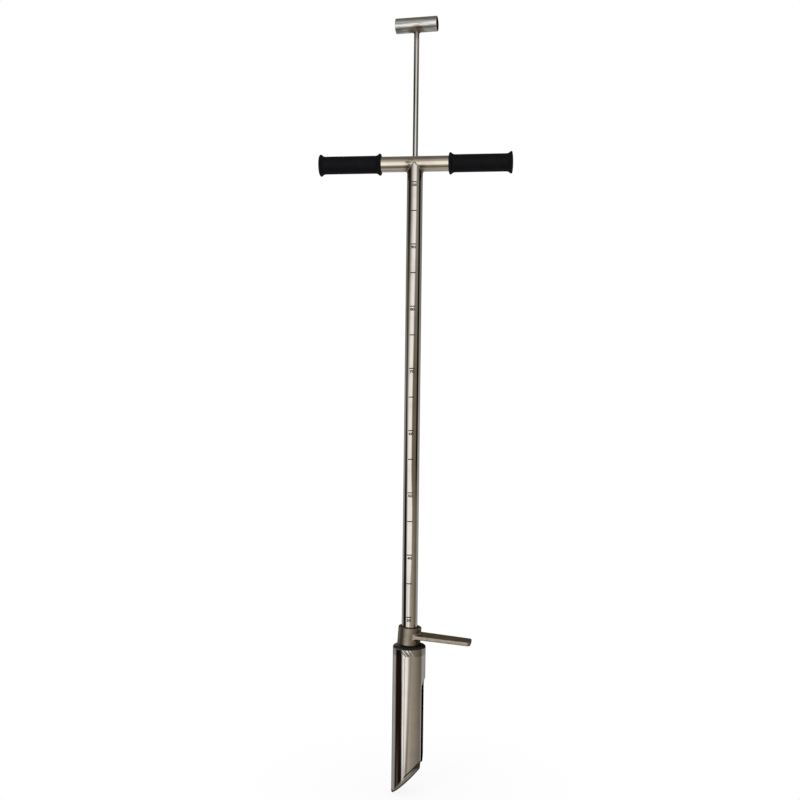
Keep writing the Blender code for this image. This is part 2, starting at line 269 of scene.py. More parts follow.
def corer_stations():
    """Up the corer: the outer radius, how far the slot has turned over, and the rule for height."""
    for radius, lift in BEVEL_ROWS:
        yield radius, 0, lambda x, half, lift=lift: (
            lift * bevel_share(x) + (x + EDGE_RADIUS) * CUT_SLOPE
        )
    yield CORER_RADIUS, 0, lambda x, half: STRAIGHT_FROM
    for step in range(CROWN_STEPS + 1):
        turn = radians(90) * step / CROWN_STEPS
        yield CORER_RADIUS, turn, lambda x, half, turn=turn: SLOT_CENTRE + half * sin(turn)


def slot_round(outer):
    """The slot's edges are rounded less where the bevel has thinned the wall."""
    return min(SLOT_ROUND, 0.4 * (outer - CORER_BORE))


def wall_row(radius, half, turn, height):
    """Points round the tube, from one side of the slot to the other."""
    start = asin(half * cos(turn) / radius)
    row = []
    for step in range(TUBE_FACETS + 1):
        angle = SLOT_TURN + start + (2 * pi - 2 * start) * step / TUBE_FACETS
        x = radius * cos(angle)
        row.append((x, radius * sin(angle), height(x, half)))
    return row


def slot_row(side, outer, turn, height):
    """Points through the wall at the slot, with both of its corners rounded."""
    soft = slot_round(outer)
    row = []
    for radius, inward, steps in ((outer, -1, (0, 1, 2, 3)), (CORER_BORE, 1, (3, 2, 1, 0))):
        for step in steps:
            bend = radians(30) * step
            half = SLOT_HALF + soft * (1 - sin(bend))
            depth = radius + inward * soft * (1 - cos(bend))
            angle = SLOT_TURN + side * asin(half * cos(turn) / depth)
            x = depth * cos(angle)
            row.append((x, depth * sin(angle), height(x, half)))
    return row


def dress(finish):
    """The flap disc's band: dull all round, with bright slanting strokes at the front and back."""
    around = finish.math("ARCTAN2", finish.y, finish.x)
    across = around * CORER_RADIUS + (finish.z - DRESSED_FROM) * DRESSING_LEAN
    stroke_place = finish.node("CombineXYZ", {0: across, 1: finish.z * 0.10})
    strokes = finish.noise(stroke_place, 1 / DRESSING_PITCH, 1)
    ragged = finish.noise(stroke_place, 420, 1) - 0.5
    dressed = finish.fade(finish.z + ragged * 0.005, DRESSED_FROM, DRESSED_FROM + 0.0008)
    dressed *= finish.fall(finish.z, DRESSED_TO, DRESSED_TO + 0.0010)
    worked = finish.fade(finish.x, -0.0110, -0.0085) * finish.fall(finish.x, 0.0085, 0.0120)
    bright = finish.fade(strokes, 0.46, 0.56)
    marks = finish.blend(bright, (0.12, 0.105, 0.095), (0.74, 0.71, 0.68))
    finish.paint(dressed * 0.92, finish.blend(worked, (0.37, 0.335, 0.305), marks))
    finish.roughness += (1 - bright) * worked * dressed * 0.16
    finish.relief((strokes - 0.5) * worked * dressed, 0.0002)


stations = list(corer_stations())
outer_rows, inner_rows = [], []
for radius, turn, height in stations:
    half = SLOT_HALF + slot_round(radius)
    outer_rows.append(wall_row(radius, half, turn, height))
    inner_rows.append(wall_row(CORER_BORE, half, turn, height))
for radius, rows in ((CORER_RADIUS, outer_rows), (CORER_BORE, inner_rows)):
    rows.append(wall_row(radius, 0, 0, lambda x, half: CORER_TOP))
shape = bmesh.new()
skin(shape, outer_rows)
skin(shape, inner_rows)
skin(shape, (outer_rows[0], inner_rows[0]))
skin(shape, (outer_rows[-1], inner_rows[-1]))
for side in (1, -1):
    wall = [slot_row(side, *station) for station in stations]
    skin(shape, wall)
    shape.faces.new([shape.verts.new(point) for point in wall[0]])

steel = tube_finish("corer_steel", TUBE_COLOUR, 0.055, (900, 900, 8), (10, 10, 4))
steel.put("Specular IOR Level", 0)
dress(steel)
x, y, z = steel.x, steel.y, steel.z
fade, fall, paint = steel.fade, steel.fall, steel.paint
# Painted shade: a darker slanting line down the front of the tube, stronger towards the tip, that
# dims the reflected light band.
front_shade_line = fall(abs(x - (z * 0.029 - 0.0012)), 0.0005, 0.0030)
front_shade_line *= fall(y, -0.005, 0.005)
front_shade_line *= 0.68 - 0.34 * fade(z, 0.03, 0.16)
paint(front_shade_line, (0.15, 0.135, 0.12))
worn = fall(z, 0.02, 0.10)
paint(worn * 0.4, (0.40, 0.37, 0.34))
above_edge = z - (x + EDGE_RADIUS) * CUT_SLOPE
share = BEVEL_AT_TIP + (1 - BEVEL_AT_TIP) * fade(x, -EDGE_RADIUS, 0)
up_bevel = above_edge / share
ground = fall(up_bevel, 0.0118, 0.0130)
steel.relief(steel.grain((2400, 2400, 120), 2) * ground, 0.000008)
steel.roughness += ground * 0.12
paint(ground * 0.6, (0.62, 0.59, 0.56))
# Painted shade on the ground bevel: a dark line along its top and a darker right-hand part, where
# the bevel reflects less light.
shade_line_from = 0.0101 - 0.0068 * fade(x, 0.0115, 0.0195)
shade_line_to = 0.0138 - 0.0020 * fade(x, 0.0160, 0.0215)
bevel_shade_line = fade(up_bevel - shade_line_from, -0.0005, 0.0005) * fall(up_bevel - shade_line_to, -0.0005, 0.0005)
bevel_shade_line *= fade(x, -0.0062, -0.0020)
bevel_shade = fade(up_bevel, 0.0020, 0.0095) * fade(x, 0.004, 0.014)
paint(bevel_shade * ground * 0.82, (0.075, 0.066, 0.056))
paint(bevel_shade_line * 0.95, (0.030, 0.026, 0.020))
# The cutting edge and the tip are painted darker.
edge_line = fall(above_edge, 0.0026, 0.0042)
blunt_tip = fall(z, 0.0055, 0.0100)
edge_darkening = steel.math("MAXIMUM", edge_line, blunt_tip)
paint(edge_darkening, (0.036, 0.034, 0.030))
# Painted shade: the bore and the slot's cut faces are painted dark and not metallic, near-black by
# the slot and dark grey further round, for the shade inside the tube.
from_middle = steel.from_axis((0, 0, 0), (0, 0, 1))
bore_shade = fall(from_middle, CORER_BORE + 0.0001, CORER_BORE + 0.00025)
over_crown = steel.math("MAXIMUM", z - SLOT_CENTRE, 0)
off_slot = y * cos(SLOT_TURN) - x * sin(SLOT_TURN)
slot_place = steel.node("CombineXYZ", {0: off_slot, 1: over_crown})
into_slot = steel.distance(slot_place, (0, 0, 0)) - SLOT_HALF
into_slot -= 0.0005 * fade(off_slot, 0, 0.002)
slot_side = fade(x, 0.010, 0.015)
# Painted highlight: a bright strip along both edges of the slot.
slot_edge_highlight = fall(into_slot, 0.0009, 0.0018) * slot_side
paint(slot_edge_highlight * (1 - ground), (0.95, 0.92, 0.88))
cut_face = fall(into_slot, 0.0001, 0.0003) * slot_side
painted_shade_inside = steel.math("MAXIMUM", bore_shade, cut_face)
by_slot = fade(x, -0.004, 0.014)
paint(painted_shade_inside, steel.blend(by_slot, (0.20, 0.175, 0.15), (0.008, 0.007, 0.006)))
steel.roughness += painted_shade_inside * 0.4 + edge_darkening * 0.35
steel.metallic = (1 - painted_shade_inside) * (1 - edge_darkening) * (1 - 0.8 * bevel_shade_line)

corer_tube = piece_from("corer_tube_dressed", shape, steel.lay())
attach(corer_tube, "tool_frame")
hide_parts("corer_tube")


# Top plate of the corer: a turned stainless disc with a rounded rim, and the seam that joins it to
# the tube, welded all round and ground flush.
PLATE_TOP = 0.242
PLATE_UNDERSIDE = 0.237
PLATE_HOLE = 0.0133
RIM_ROUND = 0.0025
SEAM_TOP = 0.23855
SEAM_BOTTOM = 0.23515
SEAM_INSIDE = 0.0264
SEAM_CREST = CORER_RADIUS + 0.00003
SEAM_EDGE = 0.0006


def arc(centre, radius, start, end, steps):
    """Points of an arc in a profile, between two angles in degrees."""
    angles = [radians(start + (end - start) * step / steps) for step in range(steps + 1)]
    return [(centre[0] + radius * cos(a), centre[1] + radius * sin(a)) for a in angles]


def ring(radius, height, count=TUBE_FACETS):
    """Points round the tool's axis."""
    angles = [2 * pi * step / count for step in range(count)]
    return [(radius * cos(a), radius * sin(a), height) for a in angles]


def turned(name, profile, material, facets=TUBE_FACETS, sharp=35, move=Matrix()):
    """A piece turned from (radius, height) points. A profile that starts off the axis is closed."""
    rows = [ring(radius, height, facets) for radius, height in profile]
    if profile[0][0] > 0:
        rows.append(rows[0])
    shape = bmesh.new()
    skin(shape, rows, wrap=True)
    bmesh.ops.transform(shape, matrix=move, verts=shape.verts)
    return piece_from(name, shape, material, sharp)


plate_profile = [
    (PLATE_HOLE, PLATE_TOP),
    *arc((CORER_RADIUS - RIM_ROUND, PLATE_TOP - RIM_ROUND), RIM_ROUND, 90, 0, 10),
    (CORER_RADIUS, SEAM_TOP),
    (SEAM_INSIDE, SEAM_TOP),
    (SEAM_INSIDE, PLATE_UNDERSIDE),
    (PLATE_HOLE, PLATE_UNDERSIDE),
]
plate = Finish("plate_steel", TUBE_COLOUR)
cloud = plate.grain(60, 4)
plate.roughness = 0.10 + cloud * 0.08
dress(plate)
plate.put("Specular IOR Level", 0)
# Painted shadow: the plate's top is painted nearly black and not metallic, for the shade of the
# collar standing on it, a little lighter in patches towards the left.
scale = plate.fade(plate.z + cloud * 0.0012, 0.2393, 0.2404)
lighter_left_patches = plate.fade(cloud, 0.38, 0.62) * plate.fall(plate.x, -0.018, -0.006)
plate.paint(scale, plate.blend(lighter_left_patches, (0.024, 0.020, 0.017), (0.16, 0.145, 0.135)))
plate.roughness += scale * 0.40
plate.metallic = 1 - 0.95 * scale
plate.relief(cloud, 0.00008)
top_plate = turned("corer_plate_turned", plate_profile, plate.lay())
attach(top_plate, "tool_frame")
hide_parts("corer_top_plate")

seam_profile = [
    (CORER_RADIUS, SEAM_TOP),
    (SEAM_CREST, SEAM_TOP - SEAM_EDGE),
    (SEAM_CREST, SEAM_BOTTOM + SEAM_EDGE),
    (CORER_RADIUS, SEAM_BOTTOM),
    (SEAM_INSIDE, SEAM_BOTTOM),
    (SEAM_INSIDE, SEAM_TOP),
]
seam = Finish("seam_ground", TUBE_COLOUR)
mottle = seam.mottle(260, 3, 0.45, 0.75, (0.46, 0.41, 0.36))
seam.roughness = 0.09 + mottle * 0.09
dress(seam)
rim_weld = turned("corer_seam_ground", seam_profile, seam.lay())
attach(rim_weld, "tool_frame")
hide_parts("corer_rim_weld")


# Shaft: drawn stainless tube, let through the top plate and welded below it. Its upper end is
# saddle-cut to fit under the crossbar, and heat from that weld has browned it.
SHAFT_RADIUS = 0.013
SHAFT_BORE = 0.0115
SHAFT_BOTTOM = 0.233
BAR_RADIUS = 0.0127
BAR_HEIGHT = 1.034
JOINT_HEAT = (0.075, 0.058, 0.045)
JOINT_STRAW = (0.40, 0.32, 0.22)


def saddle(radius, bar_radius, bar_height, bar_turn=0, count=TUBE_FACETS):
    """Where an upright round piece meets the underside of a crossbar."""
    path = []
    for step in range(count):
        angle = 2 * pi * step / count
        across = radius * sin(angle - bar_turn)
        height = bar_height - sqrt(max(bar_radius**2 - across**2, 0))
        path.append((radius * cos(angle), radius * sin(angle), height))
    return path


bore_top = saddle(SHAFT_BORE, BAR_RADIUS, BAR_HEIGHT)
bore_foot = ring(SHAFT_BORE, SHAFT_BOTTOM)
shaft_foot = ring(SHAFT_RADIUS, SHAFT_BOTTOM)
shaft_top = saddle(SHAFT_RADIUS, BAR_RADIUS, BAR_HEIGHT)
shape = bmesh.new()
skin(shape, (bore_top, bore_foot, shaft_foot, shaft_top, bore_top), wrap=True)

steel = tube_finish("shaft_steel", TUBE_COLOUR, 0.06, (900, 900, 6), (15, 15, 5))
cloud = steel.grain(120, 3) - 0.5
sideways = abs(steel.x)
heat = steel.z + cloud * 0.010 - BAR_HEIGHT + BAR_RADIUS
browned = steel.fade(sideways, 0.0062, 0.0100) * steel.fade(heat, -0.012, 0)
strawed = steel.fade(heat + sideways * 0.9, -0.030, 0.008)
steel.paint(strawed * 0.18, JOINT_STRAW)
steel.paint(browned * 0.85, JOINT_HEAT)
steel.roughness += browned * 0.12
shaft = piece_from("shaft_drawn", shape, steel.lay())
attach(shaft, "tool_frame")
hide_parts("shaft_tube")


# Foot of the shaft, inside the corer: the fillet weld under the plate, and the nylon bush pressed
# into the tube's end, which guides the push rod and keeps soil out.
BASE_BEAD = 0.0016
BASE_PITCH = 0.0022
BASE_INSET = 0.0008
BEAD_STEPS = 420
BEAD_SIDES = 20
BEAD_SHAKE = 0.0006
BUSH_TOP = 0.2547
BUSH_SHOULDER = 0.2327
BUSH_BOTTOM = 0.2297
BUSH_BORE = 0.0048
BUSH_PLUG = 0.0112
BUSH_EDGE = 0.0008


def made(carrier):
    """The plain mesh that an object's modifiers make of it. The object itself goes."""
    bpy.context.view_layer.update()
    graph = bpy.context.evaluated_depsgraph_get()
    mesh = bpy.data.meshes.new_from_object(carrier.evaluated_get(graph))
    bpy.data.objects.remove(carrier)
    return mesh


class Growth(Nodes):
    """A tree of Geometry Nodes with named sizes, which is grown once into a plain mesh."""

    def __init__(self, name, sizes):
        super().__init__(bpy.data.node_groups.new(name, "GeometryNodeTree"))
        add = self.tree.interface.new_socket
        add("Path", in_out="INPUT", socket_type="NodeSocketGeometry")
        self.sizes = {}
        for label, value in sizes.items():
            kind = "NodeSocketInt" if isinstance(value, int) else "NodeSocketFloat"
            socket = add(label, in_out="INPUT", socket_type=kind)
            self.sizes[socket.identifier] = value
        add("Piece", in_out="OUTPUT", socket_type="NodeSocketGeometry")
        self.path = self.node("NodeGroupInput")

    def given(self, label):
        return self.path.beside(label)

    def step(self, kind, inputs=None, output=0):
        return self.node("GeometryNode" + kind, inputs, output)

    def grown(self, last, material, sharp=35, path=()):
        """The piece that comes out of the last node, along a closed path if it has one."""
        last = self.step("RealizeInstances", {0: last})
        last = self.step("SetMaterial", {0: last, "Material": material})
        self.feed(self.tree.nodes.new("NodeGroupOutput").inputs[0], last)
        name, count = self.tree.name, len(path)
        guide = bpy.data.meshes.new(name)
        guide.from_pydata(path, [(i, (i + 1) % count) for i in range(count)], [])
        carrier = placed(name, guide)
        growth = carrier.modifiers.new("growth", "NODES")
        growth.node_group = self.tree
        for identifier, value in self.sizes.items():
            growth[identifier] = value
        return piece_with(name, made(carrier), material, sharp)


def bead_ripples(name, path, radius, pitch, depth, material):
    """A weld bead swept along a closed path, with the ripples of a moving weld pool."""
    sizes = {"Bead Radius": radius, "Ripple Pitch": pitch, "Ripple Depth": depth}
    bead = Growth(name, sizes)
    curve = bead.step("MeshToCurve", {"Mesh": bead.path})
    curve = bead.step("ResampleCurve", {"Curve": curve, "Count": BEAD_STEPS})
    along = bead.step("SplineParameter", output="Length")
    wave = bead.math("SINE", along / bead.given("Ripple Pitch") * (2 * pi))
    swell = bead.math("MULTIPLY_ADD", wave, bead.given("Ripple Depth"), 1)
    inputs = {"Radius": bead.given("Bead Radius"), "Resolution": BEAD_SIDES}
    section = bead.step("CurvePrimitiveCircle", inputs)
    inputs = {"Curve": curve, "Profile Curve": section, "Scale": swell}
    sweep = bead.step("CurveToMesh", inputs)
    shake = bead.node("TexNoise", {"Scale": 420}, "Color")
    shake = bead.vector("SUBTRACT", shake, (0.5, 0.5, 0.5))
    shake = bead.node("VectorMath", {0: shake, "Scale": BEAD_SHAKE}, operation="SCALE")
    shaken = bead.step("SetPosition", {"Geometry": sweep, "Offset": shake})
    smooth = bead.step("SetShadeSmooth", {0: shaken})
    return bead.grown(smooth, material, 60, path)


def weld_finish(name, hot, cool, grain):
    """Weld metal left as it froze: ripples, oxide and a little shine on the crests."""
    finish = Finish(name, cool)
    oxide = finish.mottle(grain, 3, 0.38, 0.66, hot)
    finish.roughness = 0.26 + oxide * 0.26
    finish.relief(oxide, 0.00006)
    return finish.lay()


base_path = ring(SHAFT_RADIUS + BASE_INSET, PLATE_UNDERSIDE - BASE_INSET, 180)
base_metal = weld_finish("base_weld_metal", (0.16, 0.13, 0.11), (0.44, 0.40, 0.36), 300)
base_weld = bead_ripples("shaft_base_bead", base_path, BASE_BEAD, BASE_PITCH, 0.12, base_metal)
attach(base_weld, "tool_frame")
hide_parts("shaft_base_weld")

bush_profile = [
    (BUSH_BORE, BUSH_TOP),
    (BUSH_PLUG - 0.0006, BUSH_TOP),
    (BUSH_PLUG, BUSH_TOP - BUSH_EDGE),
    (BUSH_PLUG, BUSH_SHOULDER),
    (SHAFT_RADIUS - 0.0004, BUSH_SHOULDER),
    (SHAFT_RADIUS, BUSH_SHOULDER - 0.0005),
    (SHAFT_RADIUS, BUSH_BOTTOM + BUSH_EDGE),
    (SHAFT_RADIUS - BUSH_EDGE, BUSH_BOTTOM),
    (BUSH_BORE + 0.0004, BUSH_BOTTOM),
    (BUSH_BORE, BUSH_BOTTOM + 0.0005),
]
nylon = Finish("guide_nylon", (0.76, 0.74, 0.69), 0)
cloudy = nylon.mottle(180, 3, 0.4, 0.8, (0.62, 0.58, 0.51))
nylon.roughness = 0.38 + cloudy * 0.16
nylon.relief(nylon.grain((40, 40, 3200), 2), 0.00003)
guide_bush = turned("guide_bush_turned", bush_profile, nylon.lay(), 96)
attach(guide_bush, "tool_frame")
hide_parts("lower_guide_bush")


# Depth scale: marks burnt into the front of the shaft. Each ten has a line with its number below,
# and between the tens there is a line a little above half-way.
SCALE_FIRST = 0.2900
SCALE_FIRST_NUMBER = 30
SCALE_TENS = 8
SCALE_STEP = 0.1017
FIVES_ABOVE = SCALE_STEP / 2 + 0.004
TICK_ARC = 0.0090
TICK_HEIGHT = 0.0017
MARK_PROUD = 0.00005
NUMBER_SIZE = 0.0060
NUMBER_WEIGHT = 0.00026
NUMBER_DROP = 0.0053
NUMBER_STRETCH = 1.30
NUMBER_FACE = 0.0007


def scale_ticks(name, count, first_height, material):
    """Short curved bars set out up the shaft."""
    sizes = {"Count": count, "Step": SCALE_STEP, "First Height": first_height}
    sizes.update({"Shaft Radius": SHAFT_RADIUS, "Arc Length": TICK_ARC})
    sizes.update({"Tick Height": TICK_HEIGHT, "Tick Depth": 2 * MARK_PROUD})
    ticks = Growth(name, sizes)
    first = ticks.node("CombineXYZ", {"Z": ticks.given("First Height")})
    climb = ticks.node("CombineXYZ", {"Z": ticks.given("Step")})
    inputs = {"Count": ticks.given("Count"), "Start Location": first, "Offset": climb}
    line = ticks.step("MeshLine", inputs)
    radius = ticks.given("Shaft Radius")
    sweep = ticks.given("Arc Length") / radius
    start = ticks.math("MULTIPLY_ADD", sweep, -0.5, radians(-90))
    inputs = {"Resolution": 16, "Radius": radius, "Start Angle": start, "Sweep Angle": sweep}
    bow = ticks.step("CurveArc", inputs)
    inputs = {"Width": ticks.given("Tick Depth"), "Height": ticks.given("Tick Height")}
    section = ticks.step("CurvePrimitiveQuadrilateral", inputs)
    inputs = {"Curve": bow, "Profile Curve": section, "Fill Caps": True}
    bar = ticks.step("CurveToMesh", inputs)
    spread = ticks.step("InstanceOnPoints", {"Points": line, "Instance": bar})
    return ticks.grown(spread, material)


def number_on_shaft(shape, words, height):
    """Adds a number to a shape, cut into small faces and wrapped round the front of the shaft."""
    text = bpy.data.curves.new("number", "FONT")
    text.body = words
    text.size = NUMBER_SIZE
    text.align_x = "CENTER"
    text.align_y = "CENTER"
    text.offset = NUMBER_WEIGHT
    flat = made(placed("number", text))
    part = bmesh.new()
    part.from_mesh(flat)
    bmesh.ops.remove_doubles(part, verts=part.verts, dist=MERGE_GAP)
    bmesh.ops.triangulate(part, faces=part.faces)
    for _ in range(2):
        long_edges = [edge for edge in part.edges if edge.calc_length() > NUMBER_FACE]
        bmesh.ops.subdivide_edges(part, edges=long_edges, cuts=1)
        bmesh.ops.triangulate(part, faces=part.faces)
    reach = SHAFT_RADIUS + MARK_PROUD
    for vertex in part.verts:
        angle = vertex.co.x * NUMBER_STRETCH * sqrt(2 / len(words)) / SHAFT_RADIUS
        rise = vertex.co.y
        vertex.co = (reach * sin(angle), -reach * cos(angle), height + rise)
    part.to_mesh(flat)
    part.free()
    shape.from_mesh(flat)


mark = Finish("burnt_mark", (0.014, 0.012, 0.010), 0.35)
wear = mark.mottle(900, 3, 0.50, 0.80, (0.09, 0.08, 0.07))
mark.roughness = 0.45 + wear * 0.2
mark_material = mark.lay()
for name, count, first in (
    ("depth_scale_tens", SCALE_TENS, SCALE_FIRST),
    ("depth_scale_fives", SCALE_TENS - 1, SCALE_FIRST + FIVES_ABOVE),
):
    ticks = scale_ticks(name, count, first, mark_material)
    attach(ticks, "tool_frame")

shape = bmesh.new()
for ten in range(SCALE_TENS):
    height = SCALE_FIRST + ten * SCALE_STEP - NUMBER_DROP
    number_on_shaft(shape, str(SCALE_FIRST_NUMBER + 10 * ten), height)
numbers_mesh = mesh_of("depth_scale_numbers", shape)
numbers = piece_with("depth_scale_numbers", numbers_mesh, mark_material)
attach(numbers, "tool_frame")


# Crossbar: stainless tube laid across the top of the shaft, drilled through for the push rod and
# browned underneath where it is welded.
BAR_HALF = 0.1562
BAR_BORE = 0.0112
BAR_EDGE = 0.0003
BAR_COLOUR = (0.64, 0.575, 0.485)
ROD_HOLE = 0.0048
DRILL_REACH = 0.03


def stood(across, height, turn, tilt):
    """The place of a piece that is tilted about Y, turned about Z and then carried to a height."""
    spin = Matrix.Rotation(turn, 4, "Z") @ Matrix.Rotation(tilt, 4, "Y")
    return Matrix.Translation((across, 0, height)) @ spin


def drill(name, radius, middle, material, facets=TUBE_FACETS):
    """A cutter for a round hole, longer than any piece that it goes through."""
    top, foot = middle + DRILL_REACH, middle - DRILL_REACH
    return turned(name, [(0, top), (radius, top), (radius, foot), (0, foot)], material, facets)


def combine(piece, other, operation):
    """Joins another piece to a piece, or cuts it out, when the piece's mesh is made."""
    step = piece.modifiers.new(operation, "BOOLEAN")
    step.object = other
    step.operation = operation
    step.solver = "EXACT"


steel = tube_finish("crossbar_steel", BAR_COLOUR, 0.10, (6, 900, 900), (5, 14, 14), 0.00005)
cloud = steel.grain(120, 3) - 0.5
below = steel.fall(steel.z, BAR_HEIGHT - 0.007, BAR_HEIGHT - 0.002)
heat = abs(steel.x) + cloud * 0.014
browned = steel.fall(heat, 0.010, 0.020) * below
strawed = steel.fall(heat, 0.010, 0.032) * (0.45 + 0.55 * below)
steel.paint(strawed * 0.40, JOINT_STRAW)
steel.paint(browned * 0.72, JOINT_HEAT)
scuffs = steel.fade(steel.grain((110, 900, 520), 1), 0.50, 0.60)
scuffs *= steel.fall(abs(steel.x + 0.0085), 0.0045, 0.0085)
scuffs *= steel.fall(abs(steel.z - BAR_HEIGHT), 0.0045, 0.0065)
scuffs *= steel.fall(steel.y, -0.004, 0.004)
steel.paint(scuffs * 0.8, JOINT_HEAT)
steel.roughness += browned * 0.12 + scuffs * 0.10
bar_steel = steel.lay()

bar_profile = [
    (BAR_RADIUS - BAR_EDGE, BAR_HALF),
    (BAR_RADIUS, BAR_HALF - BAR_EDGE),
    (BAR_RADIUS, BAR_EDGE - BAR_HALF),
    (BAR_RADIUS - BAR_EDGE, -BAR_HALF),
    (BAR_BORE, -BAR_HALF),
    (BAR_BORE, BAR_HALF),
]
lie_across = stood(0, BAR_HEIGHT, 0, radians(90))
blank = turned("crossbar_blank", bar_profile, bar_steel, move=lie_across)
rod_drill = drill("crossbar_drill", ROD_HOLE, BAR_HEIGHT, bar_steel, 64)
combine(blank, rod_drill, "DIFFERENCE")
crossbar = piece_with("crossbar_drilled", made(blank), bar_steel)
bpy.data.objects.remove(rod_drill)
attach(crossbar, "tool_frame")
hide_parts("handle_crossbar")


# Weld between shaft and crossbar: one low bead of stainless filler round the saddle, with the brown
# of the heat still on it and a few drops of spatter beside it.
HANDLE_BEAD = 0.0011
HANDLE_PITCH = 0.0020
SPATTER = (
    (-0.0052, 0.0018, 0.0010),
    (-0.0085, 0.0008, 0.0009),
    (-0.0068, -0.0006, 0.0011),
    (-0.0104, -0.0014, 0.0008),
    (-0.0090, -0.0030, 0.0010),
    (-0.0125, 0.0014, 0.0006),
    (0.0061, 0.0012, 0.0006),
)
SPATTER_SHAPE = (2.3, 0.50, 0.8)

handle_path = saddle(SHAFT_RADIUS, BAR_RADIUS + 0.0002, BAR_HEIGHT - 0.0003, 0, 240)
handle_metal = weld_finish("handle_weld_metal", (0.26, 0.22, 0.18), (0.56, 0.51, 0.45), 260)
handle_weld = bead_ripples(
    "handle_bead", handle_path, HANDLE_BEAD, HANDLE_PITCH, 0.10, handle_metal
)
shape = bmesh.new()
shape.from_mesh(handle_weld.data)
for across, height, size in SPATTER:
    reach = sqrt(BAR_RADIUS**2 - height**2)
    spot = Matrix.Translation((across, -reach, BAR_HEIGHT + height))
    spot = spot @ Matrix.Diagonal([size * part for part in SPATTER_SHAPE] + [1])
    drop = bmesh.ops.create_icosphere(shape, subdivisions=2, radius=1, matrix=spot)
    for face in {face for vertex in drop["verts"] for face in vertex.link_faces}:
        face.smooth = True
shape.to_mesh(handle_weld.data)
shape.free()
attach(handle_weld, "tool_frame")
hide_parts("handle_weld")


# Grips: two moulded black rubber sleeves pushed on to the crossbar, closed at the outer end, with a
# flared flange at both ends that keeps the hand on.
GRIP_INNER_END = 0.055
GRIP_LENGTH = 0.1055
GRIP_BODY = 0.0145
GRIP_FLANGE = 0.018
GRIP_LIP = 0.0022
GRIP_CREST = 0.0034
GRIP_FLARE = 0.0115
GRIP_BORE = 0.0130
GRIP_CAP = 0.004
FLARE_STEPS = 10

lip_height = GRIP_LENGTH - GRIP_CREST
outer_half = arc((GRIP_FLANGE - GRIP_LIP, lip_height), GRIP_LIP, 72, -50, 12)
corners = (outer_half[-1], (GRIP_BODY, lip_height - 0.0040), (GRIP_BODY, GRIP_LENGTH - GRIP_FLARE))
for step in range(1, FLARE_STEPS + 1):
    t = step / FLARE_STEPS
    weights = ((1 - t) ** 2, 2 * t * (1 - t), t**2)
    outer_half.append(tuple(sum(w * c[i] for w, c in zip(weights, corners)) for i in (0, 1)))
inner_half = [(radius, GRIP_LENGTH - height) for radius, height in reversed(outer_half)]
grip_profile = [
    (0, GRIP_LENGTH),
    (0.0080, GRIP_LENGTH - 0.0002),
    (0.0125, GRIP_LENGTH - 0.0006),
    *outer_half,
    *inner_half,
    (GRIP_BORE + 0.0008, 0.0006),
    (GRIP_BORE, 0.0010),
    (GRIP_BORE, GRIP_LENGTH - GRIP_CAP),
    (0, GRIP_LENGTH - GRIP_CAP),
]
rubber = Finish("grip_rubber_moulded", (0.0028, 0.0029, 0.0042), 0)
rubber.put("Specular IOR Level", 0.12)
handled = rubber.mottle(60, 3, 0.35, 0.75, (0.0046, 0.0047, 0.0064))
rubber.roughness = 0.52 + handled * 0.16
rubber.relief(rubber.grain(1900, 2), 0.00002)
rubber_material = rubber.lay()
for name, node, side in (("grip_left", "left_grip", -1), ("grip_right", "right_grip", 1)):
    push_on = stood(side * GRIP_INNER_END, BAR_HEIGHT, 0, side * radians(90))
    grip = turned(name, grip_profile, rubber_material, 112, 50, push_on)
    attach(grip, "tool_frame")
    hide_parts(node)


# Foot collar: a loose ring and a flat foot tread cast in one, bead-blasted, with cast fillets where
# the tread leaves the ring. It stands canted on the corer's top plate.
COLLAR_RADIUS = 0.019
COLLAR_BORE = 0.0144
COLLAR_HALF = 0.0145
COLLAR_EDGE = 0.0010
COLLAR_EDGE_CUT = 0.0003
COLLAR_CANT = radians(4)
COLLAR_FOOT = COLLAR_HALF * cos(COLLAR_CANT) + COLLAR_RADIUS * sin(COLLAR_CANT)
COLLAR_MIDDLE = PLATE_TOP + 0.0004 + COLLAR_FOOT
TREAD_TURN = radians(-4)
TREAD_ROOT = 0.0167
TREAD_REACH = 0.102
TREAD_HALF = 0.0172
TREAD_END_HALF = 0.0145
TREAD_TOP = 0.0038
TREAD_THICKNESS = 0.0065
TREAD_EDGE = 0.0009
TREAD_CORNER = 0.005
ROOT_FILLET = 0.0040
BEND_STEPS = 8
CAST_GRAIN = 0.0006


def tread_section(reach, half, flare):
    """A closed section across the tread, rounded at its long edges."""
    top = TREAD_TOP + flare
    bottom = TREAD_TOP - TREAD_THICKNESS - flare
    flat = half - TREAD_EDGE
    row = [flat - 2 * flat * step / 12 for step in range(13)]
    outline = [(across, top) for across in row]
    outline += arc((-flat, top - TREAD_EDGE), TREAD_EDGE, 120, 180, 3)
    outline += arc((-flat, bottom + TREAD_EDGE), TREAD_EDGE, 180, 240, 3)
    outline += [(across, bottom) for across in reversed(row)]
    outline += arc((flat, bottom + TREAD_EDGE), TREAD_EDGE, 300, 360, 3)
    outline += arc((flat, top - TREAD_EDGE), TREAD_EDGE, 0, 60, 3)
    return [(reach(across), across, height) for across, height in outline]


def from_ring(radius):
    return lambda across: sqrt(max(radius**2 - across**2, 0))


